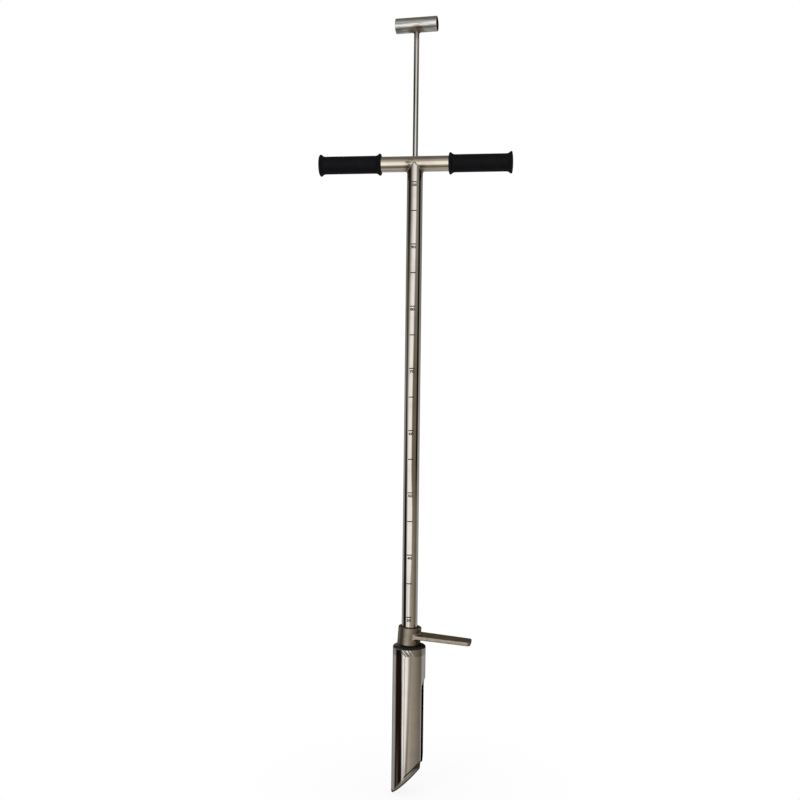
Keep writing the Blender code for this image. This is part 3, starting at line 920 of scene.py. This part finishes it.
bends = [radians(90) * step / BEND_STEPS for step in range(BEND_STEPS + 1)]
tread_rows = [tread_section(from_ring(TREAD_ROOT), TREAD_HALF, ROOT_FILLET)]
for bend in bends:
    away = COLLAR_RADIUS + ROOT_FILLET * (1 - cos(bend))
    flare = ROOT_FILLET * (1 - sin(bend))
    tread_rows.append(tread_section(from_ring(away), TREAD_HALF, flare))
for bend in bends:
    place = TREAD_REACH - TREAD_CORNER * (1 - sin(bend))
    half = TREAD_END_HALF - TREAD_CORNER * (1 - cos(bend))
    tread_rows.append(tread_section(lambda across, place=place: place, half, 0))
shape = bmesh.new()
skin(shape, tread_rows, wrap=True)
for row in (tread_rows[0], tread_rows[-1]):
    shape.faces.new([shape.verts.new(point) for point in row])

casting = Finish("collar_casting", (0.355, 0.31, 0.25))
casting.put("Specular Tint", (0.40, 0.35, 0.28))
cast_skin = casting.mottle(70, 4, 0.35, 0.72, (0.275, 0.235, 0.185))
casting.roughness = 0.28 + cast_skin * 0.12
# Painted shade: darker under the root of the tread, on that side of the ring, where the tread
# shades it.
shade_under_tread = casting.fall(casting.z + casting.x * 0.07, 0.2530, 0.2560)
shaded_corner = casting.fade(casting.x, 0.009, 0.014) * casting.fall(casting.x, 0.020, 0.027)
casting.paint(shaded_corner * shade_under_tread * 0.85, (0.045, 0.034, 0.024))
casting.relief(casting.grain(1500, 3), 0.00005)
casting.relief(cast_skin, 0.0003)
cast_steel = casting.lay()

blade = piece_from("tread_blank", shape, cast_steel)
upper_edge = [
    (0, COLLAR_HALF),
    (COLLAR_RADIUS - COLLAR_EDGE, COLLAR_HALF),
    (COLLAR_RADIUS - COLLAR_EDGE_CUT, COLLAR_HALF - COLLAR_EDGE_CUT),
    (COLLAR_RADIUS, COLLAR_HALF - COLLAR_EDGE),
]
lower_edge = [(radius, -height) for radius, height in reversed(upper_edge)]
collar = turned("collar_ring", upper_edge + lower_edge, cast_steel)
bore = drill("collar_bore", COLLAR_BORE, 0, cast_steel)
combine(collar, blade, "UNION")
combine(collar, bore, "DIFFERENCE")
remesh = collar.modifiers.new("cast", "REMESH")
remesh.mode = "VOXEL"
remesh.voxel_size = CAST_GRAIN
ease = collar.modifiers.new("ease", "SMOOTH")
ease.factor = 0.5
ease.iterations = 4
cast_mesh = made(collar)
bpy.data.objects.remove(blade)
bpy.data.objects.remove(bore)
cast_mesh.transform(stood(0, COLLAR_MIDDLE, TREAD_TURN, COLLAR_CANT))
foot_collar = piece_with("foot_collar_cast", cast_mesh, cast_steel, 80)
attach(foot_collar, "collar")
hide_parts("foot_collar")


# Push rod: bright round bar that runs down through the crossbar and the shaft. Its lower end is
# turned down and threaded for the ejector disc, and its top is browned by the knob's weld.
ROD_RADIUS = 0.0044
ROD_SHOULDER = 0.2296
ROD_BOTTOM = 0.2156
ROD_TOP = 1.2519
ROD_EDGE = 0.0002
THREAD_CREST = 0.003
THREAD_ROOT = 0.00255
THREAD_PITCH = 0.001
THREAD_TURNS = 12
THREAD_RUNOUT = 0.0008
ROD_COLOUR = (0.55, 0.52, 0.48)

rod_profile = [(0, ROD_TOP), (ROD_RADIUS, ROD_TOP), (ROD_RADIUS, ROD_SHOULDER + ROD_EDGE)]
rod_profile += [(ROD_RADIUS - ROD_EDGE, ROD_SHOULDER), (THREAD_CREST, ROD_SHOULDER)]
for turn in range(THREAD_TURNS):
    crest = ROD_SHOULDER - THREAD_RUNOUT - turn * THREAD_PITCH
    rod_profile += [(THREAD_CREST, crest), (THREAD_ROOT, crest - THREAD_PITCH / 2)]
rod_profile += [(THREAD_CREST, ROD_BOTTOM + THREAD_RUNOUT), (THREAD_ROOT, ROD_BOTTOM)]
rod_profile.append((0, ROD_BOTTOM))
steel = tube_finish("rod_bright", ROD_COLOUR, 0.08, (900, 900, 12), (20, 20, 4), 0.000008)
cloud = steel.grain(140, 3) - 0.5
browned = steel.fade(steel.z + cloud * 0.012, 1.2350, 1.2500)
steel.paint(browned * 0.75, (0.16, 0.11, 0.085))
push_rod = turned("push_rod_turned", rod_profile, steel.lay(), 64)
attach(push_rod, "plunger")
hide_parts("push_rod")


# Knob: a short length of stainless tube welded across the top of the rod, with its open ends left
# plain and the brown and straw of the weld's heat round its middle.
KNOB_HEIGHT = 1.263
KNOB_RADIUS = 0.0121
KNOB_BORE = 0.0101
KNOB_HALF = 0.0345
KNOB_EDGE = 0.0004
KNOB_TURN = radians(-5)
KNOB_BEAD = 0.0013
KNOB_PITCH = 0.0016
BRIGHT_COLOUR = (0.62, 0.61, 0.585)
HEAT_REACH = 0.021
HEAT_BANDS = (
    (0.0, (0.09, 0.07, 0.07)),
    (0.30, (0.16, 0.115, 0.105)),
    (0.50, (0.27, 0.21, 0.15)),
    (0.70, (0.40, 0.37, 0.25)),
    (1.0, BRIGHT_COLOUR),
)

knob_profile = [
    *arc((KNOB_RADIUS - KNOB_EDGE, KNOB_HALF - KNOB_EDGE), KNOB_EDGE, 90, 0, 4),
    *arc((KNOB_RADIUS - KNOB_EDGE, KNOB_EDGE - KNOB_HALF), KNOB_EDGE, 0, -90, 4),
    *arc((KNOB_BORE + KNOB_EDGE, KNOB_EDGE - KNOB_HALF), KNOB_EDGE, -90, -180, 4),
    *arc((KNOB_BORE + KNOB_EDGE, KNOB_HALF - KNOB_EDGE), KNOB_EDGE, 180, 90, 4),
]
steel = tube_finish("knob_bright", BRIGHT_COLOUR, 0.11, (10, 700, 700), (22, 40, 40))
drag = steel.fade(steel.grain((16, 460, 460), 2), 0.50, 0.64)
steel.paint(drag * 0.55, (0.33, 0.31, 0.285))
steel.relief(drag, 0.00004)
cloud = steel.grain((60, 130, 130), 3) - 0.5
from_weld = steel.distance(steel.place, (0, 0, KNOB_HEIGHT - KNOB_RADIUS))
above_weld = steel.z - (KNOB_HEIGHT - KNOB_RADIUS)
from_weld += cloud * 0.030 + steel.fade(above_weld, 0.006, 0.014) * 0.012
heat_tint = steel.node("ValToRGB", {0: from_weld / HEAT_REACH})
bands = heat_tint.socket.node.color_ramp.elements
while len(bands) < len(HEAT_BANDS):
    bands.new(1)
for band, (position, colour) in zip(bands, HEAT_BANDS):
    band.position = position
    band.color = (*colour, 1)
steel.paint(steel.fall(from_weld, 0.008, 0.023) * 0.85, heat_tint)
from_middle = steel.from_axis((0, 0, KNOB_HEIGHT), (cos(KNOB_TURN), sin(KNOB_TURN), 0))
# Painted shade: the inside of the knob tube is painted near-black.
knob_bore_shade = steel.fall(from_middle, KNOB_BORE + 0.0001, KNOB_BORE + 0.0007)
steel.paint(knob_bore_shade * 0.95, (0.014, 0.012, 0.011))
steel.roughness += knob_bore_shade * 0.3
lay_knob = stood(0, KNOB_HEIGHT, KNOB_TURN, radians(90))
push_knob = turned("push_knob_tube", knob_profile, steel.lay(), move=lay_knob)
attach(push_knob, "plunger")
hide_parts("push_knob")

knob_path = saddle(ROD_RADIUS + 0.0003, KNOB_RADIUS, KNOB_HEIGHT, KNOB_TURN, 120)
knob_metal = weld_finish("knob_weld_metal", (0.13, 0.09, 0.08), (0.38, 0.31, 0.27), 320)
knob_weld = bead_ripples("knob_bead", knob_path, KNOB_BEAD, KNOB_PITCH, 0.10, knob_metal)
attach(knob_weld, "plunger")
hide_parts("knob_weld")


# Ejector: a turned stainless disc, a loose fit in the corer's bore, held on the rod's thread by a
# washer and a lock nut.
DISC_RADIUS = 0.0245
DISC_TOP = 0.2293
DISC_BOTTOM = 0.2243
DISC_HOLE = 0.0033
DISC_EDGE = 0.0008
GROOVE_PITCH = 0.0006
WASHER_TOP = 0.2240
WASHER_BOTTOM = 0.2224
WASHER_RADIUS = 0.006
NUT_TOP = 0.2221
NUT_BOTTOM = 0.2171
NUT_HALF_FLATS = 0.005
NUT_FACE = NUT_HALF_FLATS - 0.0001
NUT_CHAMFER = tan(radians(30))
NUT_FACETS = 96

disc_profile = [
    (DISC_HOLE, DISC_TOP),
    *arc((DISC_RADIUS - DISC_EDGE, DISC_TOP - DISC_EDGE), DISC_EDGE, 90, 0, 5),
    *arc((DISC_RADIUS - DISC_EDGE, DISC_BOTTOM + DISC_EDGE), DISC_EDGE, 0, -90, 5),
    (DISC_HOLE, DISC_BOTTOM),
]
disc = Finish("disc_turned", (0.60, 0.59, 0.565))
from_middle = disc.from_axis((0, 0, 0), (0, 0, 1))
soil_film = disc.mottle(150, 4, 0.45, 0.75, (0.42, 0.38, 0.33))
disc.roughness = 0.24 + soil_film * 0.18
disc.relief(disc.math("SINE", from_middle * (2 * pi / GROOVE_PITCH)), 0.000008)
ejector_disc = turned("ejector_disc_turned", disc_profile, disc.lay())
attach(ejector_disc, "ejector")
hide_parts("ejector_disc")

washer_profile = [
    (DISC_HOLE, WASHER_TOP),
    (WASHER_RADIUS - 0.0002, WASHER_TOP),
    (WASHER_RADIUS, WASHER_TOP - 0.0002),
    (WASHER_RADIUS, WASHER_BOTTOM + 0.0004),
    (WASHER_RADIUS - 0.0004, WASHER_BOTTOM),
    (DISC_HOLE, WASHER_BOTTOM),
]
fixing = Finish("fixing_bright", (0.63, 0.62, 0.60))
scuffed = fixing.mottle(420, 3, 0.4, 0.75, (0.45, 0.43, 0.40))
fixing.roughness = 0.22 + scuffed * 0.2
fixing.relief(scuffed, 0.00003)
fixing_material = fixing.lay()
rod_washer = turned("rod_washer_pressed", washer_profile, fixing_material, 64)
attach(rod_washer, "plunger")
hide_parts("rod_washer")

nut_rows = [[], [], [], [], [], []]
for step in range(NUT_FACETS):
    angle = 2 * pi * step / NUT_FACETS
    past_flat = (angle + radians(30)) % radians(60) - radians(30)
    hexagon = NUT_HALF_FLATS / cos(past_flat)
    drop = (hexagon - NUT_FACE) * NUT_CHAMFER
    section = (
        (DISC_HOLE, NUT_TOP),
        (NUT_FACE, NUT_TOP),
        (hexagon, NUT_TOP - drop),
        (hexagon, NUT_BOTTOM + drop),
        (NUT_FACE, NUT_BOTTOM),
        (DISC_HOLE, NUT_BOTTOM),
    )
    for row, (radius, height) in zip(nut_rows, section):
        row.append((radius * cos(angle), radius * sin(angle), height))
shape = bmesh.new()
skin(shape, nut_rows + nut_rows[:1], wrap=True)
lock_nut = piece_from("lock_nut_hex", shape, fixing_material, 20)
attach(lock_nut, "plunger")
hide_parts("rod_lock_nut")


# Studio: a white floor that runs out into a white world, with only a faint shadow under the tool,
# and one soft lamp from the left front.
VIEW_TURN = radians(7)
VIEW_HEIGHT = 0.645
FLOOR_RADIUS = 5
FLOOR_DROP = 0.0002
LAMP_WIDTH = 1.2
LAMP_HEIGHT = 1.8
LAMP_POWER = 22
toward_camera = Vector((sin(VIEW_TURN), -cos(VIEW_TURN), 0))
camera_right = Vector((cos(VIEW_TURN), sin(VIEW_TURN), 0))


def looked_at(nodes):
    """1 for rays that show what they meet, and 0 for those that only bring light."""
    ray = nodes.node("LightPath", output="Is Camera Ray")
    return ray + ray.beside("Is Glossy Ray") + ray.beside("Is Transmission Ray")


world = bpy.data.worlds.new("white_studio")
world.use_nodes = True
bpy.context.scene.world = world
sky = Nodes(world.node_tree)
backdrop = world.node_tree.nodes["Background"]
sky.feed(backdrop.inputs["Color"], (1, 1, 1))
sky.feed(backdrop.inputs["Strength"], sky.math("MINIMUM", looked_at(sky) * 0.25 + 0.75, 1))

shape = bmesh.new()
bmesh.ops.create_circle(shape, cap_ends=True, segments=96, radius=FLOOR_RADIUS)
floor_mesh = mesh_of("studio_floor", shape)
floor = placed("studio_floor", floor_mesh)
floor.location.z = -FLOOR_DROP
floor.visible_glossy = False
paper = Finish("floor_white", (0.97, 0.97, 0.97), 0)
paper.roughness = 1
paper.put("Specular IOR Level", 0)
from_tool = paper.distance(paper.place, (0, 0, 0))
far = (0.88 + 0.12 * paper.fade(from_tool, 0.03, 0.4)) * looked_at(paper)
glow = paper.node("Emission", {"Color": (1, 1, 1)})
matt = Wire(paper, paper.shader.outputs[0])
surface = paper.node("MixShader", {0: far, 1: matt, 2: glow})
paper.feed(paper.tree.nodes["Material Output"].inputs["Surface"], surface)
floor_mesh.materials.append(paper.lay())

lamp = bpy.data.lights.new("soft_lamp", "AREA")
lamp.shape = "RECTANGLE"
lamp.size = LAMP_WIDTH
lamp.size_y = LAMP_HEIGHT
lamp.energy = LAMP_POWER
soft_lamp = placed("soft_lamp", lamp)
soft_lamp.location = 1.9 * toward_camera - 1.2 * camera_right + Vector((0, 0, 1.9))
aim = Vector((0, 0, 0.6)) - soft_lamp.location
soft_lamp.rotation_euler = aim.to_track_quat("-Z", "Y").to_euler()
soft_lamp.visible_glossy = False


# Reflections: what stands round the tool for polished steel to mirror. A tall soft light at the
# left front with a black flag beside it, a dim warm room with a dark strip on the right, and a grey
# wall with two dark flags behind. Turn and rise are degrees from the camera and from level.
SURROUND_RADIUS = 6
BACK_TONE = (0.46, 0.47, 0.48)
BACK_HIGH_TONE = (0.32, 0.32, 0.31)
BACK_FLAG_TONE = (0.07, 0.065, 0.06)
FLAG_TONE = (0.018, 0.011, 0.007)
FLAG_LOW_TONE = (0.100, 0.078, 0.064)
FLAG_HIGH_TONE = (0.100, 0.078, 0.052)
FLAG_TOP_TONE = (0.036, 0.027, 0.018)
LIGHT_LOW_TONE = (1.36, 1.39, 1.42)
LIGHT_HIGH_TONE = (1.32, 1.35, 1.37)
ROOM_GLOW_TONE = (0.60, 0.56, 0.50)
ROOM_LOW_TONE = (0.45, 0.42, 0.365)
ROOM_LEVEL_TONE = (0.225, 0.196, 0.152)
ROOM_HIGH_TONE = (0.40, 0.375, 0.33)
ROOM_SIDE_LOW_TONE = (0.25, 0.23, 0.20)
ROOM_SIDE_TONE = (0.195, 0.166, 0.124)
ROOM_SIDE_HIGH_TONE = (0.26, 0.27, 0.24)
STRIP_TONE = (0.012, 0.009, 0.006)
CEILING_LOW_TONE = (0.72, 0.70, 0.67)
CEILING_TOP_TONE = (0.17, 0.16, 0.145)
ROOF_TONE = (0.20, 0.19, 0.17)
GROUND_TONE = (0.32, 0.30, 0.265)
GUTTER_TONE = (0.16, 0.145, 0.125)
BELOW_TONE = (0.52, 0.51, 0.49)

shape = bmesh.new()
bmesh.ops.create_icosphere(shape, subdivisions=4, radius=SURROUND_RADIUS)
surround_mesh = mesh_of("studio_surround", shape)
surround = placed("studio_surround", surround_mesh)
surround.location.z = VIEW_HEIGHT
surround.rotation_euler.z = VIEW_TURN
for kind in ("camera", "diffuse", "transmission", "volume_scatter", "shadow"):
    setattr(surround, "visible_" + kind, False)
room = Finish("studio_surround", BACK_TONE)
room.material.cycles.emission_sampling = "NONE"
fade, fall, blend, paint = room.fade, room.fall, room.blend, room.paint
turn = room.math("ARCTAN2", room.x, 0 - room.y) * degrees(1)
rear = abs(room.math("ARCTAN2", room.x, room.y) * degrees(1))
rise = room.math("ARCSINE", room.z / room.distance(room.place, (0, 0, 0))) * degrees(1)
climb = room.math("MINIMUM", room.math("MAXIMUM", rise, 0), 14)
dip = room.math("MAXIMUM", room.math("MINIMUM", rise, 0), -22)
top_climb = room.math("MAXIMUM", rise - 8, 0)

paint(fade(rise, -3, 9), BACK_HIGH_TONE)
paint(fade(rear, 7, 15) * fall(rear, 27, 36) * 0.85, BACK_FLAG_TONE)
back = room.colour
flag = blend(fade(rise, -7, 3), FLAG_TONE, FLAG_HIGH_TONE)
flag = blend(fade(rise, 9, 14), flag, FLAG_TOP_TONE)
low_gap = fall(rise, -28, -23) * fall(abs(turn + 82), 5, 14)
flag = blend(low_gap, flag, FLAG_LOW_TONE)
paint(fade(turn, -114, -98), flag)
light = blend(fade(rise, -20, 30), LIGHT_LOW_TONE, LIGHT_HIGH_TONE)
light_join = fall(abs(turn + 32), 2, 6) * fall(rise, -16, -11) * 0.6
light = blend(light_join, light, ROOM_LOW_TONE)
lowest = room.math("MINIMUM", rise + 24, 0)
light_from = dip * -1.41 - 84 + top_climb * 2 - lowest
light_full = climb * 3 - 41 - lowest
paint(fade((turn - light_from) / (light_full - light_from), 0, 1), light)
room_low = blend(fade(turn, 0, 24), ROOM_GLOW_TONE, ROOM_LOW_TONE)
room_front = blend(fade(rise, -15, -5), room_low, ROOM_LEVEL_TONE)
room_front = blend(fade(rise, 3, 12), room_front, ROOM_HIGH_TONE)
room_side = blend(fade(rise, -24, -18), ROOM_SIDE_LOW_TONE, ROOM_SIDE_TONE)
room_side = blend(fade(rise, 0, 7), room_side, ROOM_SIDE_HIGH_TONE)
bulge = fall(abs(rise + 10), 1.5, 5) * 20
foot = room.math("MINIMUM", rise + 20, 0)
light_end = climb * 1.6 + dip * 0.3 + bulge + foot * 2.2
paint(fade(turn - light_end, -9, 8), blend(fade(turn, 14, 88), room_front, room_side))
strip = fade(turn, 57, 66) * fall(turn, 93, 101) * fade(rise, -9, -4)
paint(strip * 0.98, STRIP_TONE)
paint(fade(turn, 93, 102), back)
facing = fall(abs(turn), 72, 108)
ceiling = blend(fade(rise, 22, 84), CEILING_LOW_TONE, CEILING_TOP_TONE)
paint(fade(rise, 23, 31), blend(facing, ROOF_TONE, ceiling))
paint(fade(0 - rise, 29, 36) * facing, GROUND_TONE)
paint(fade(0 - rise, 46, 56) * facing, GUTTER_TONE)
paint(fade(0 - rise, 63, 74), BELOW_TONE)
shine = room.node("Emission", {"Color": room.colour})
room.feed(room.tree.nodes["Material Output"].inputs["Surface"], shine)
surround_mesh.materials.append(room.material)


# Camera: level with the middle of the tool, a little to its right, and rolled by less than a degree
# so that the tool leans slightly.
VIEW_DISTANCE = 1.565
VIEW_ASIDE = -0.0202
VIEW_ROLL = radians(0.7)

lens = bpy.data.cameras.new("camera")
lens.lens = 42.75
lens.sensor_width = 36
camera = placed("camera", lens)
axes = Matrix((camera_right, Vector((0, 0, 1)), toward_camera)).transposed().to_4x4()
stand_at = toward_camera * VIEW_DISTANCE + camera_right * VIEW_ASIDE + Vector((0, 0, VIEW_HEIGHT))
camera.matrix_world = Matrix.Translation(stand_at) @ axes @ Matrix.Rotation(VIEW_ROLL, 4, "Z")
bpy.context.scene.camera = camera
bpy.context.scene.view_settings.view_transform = "Standard"
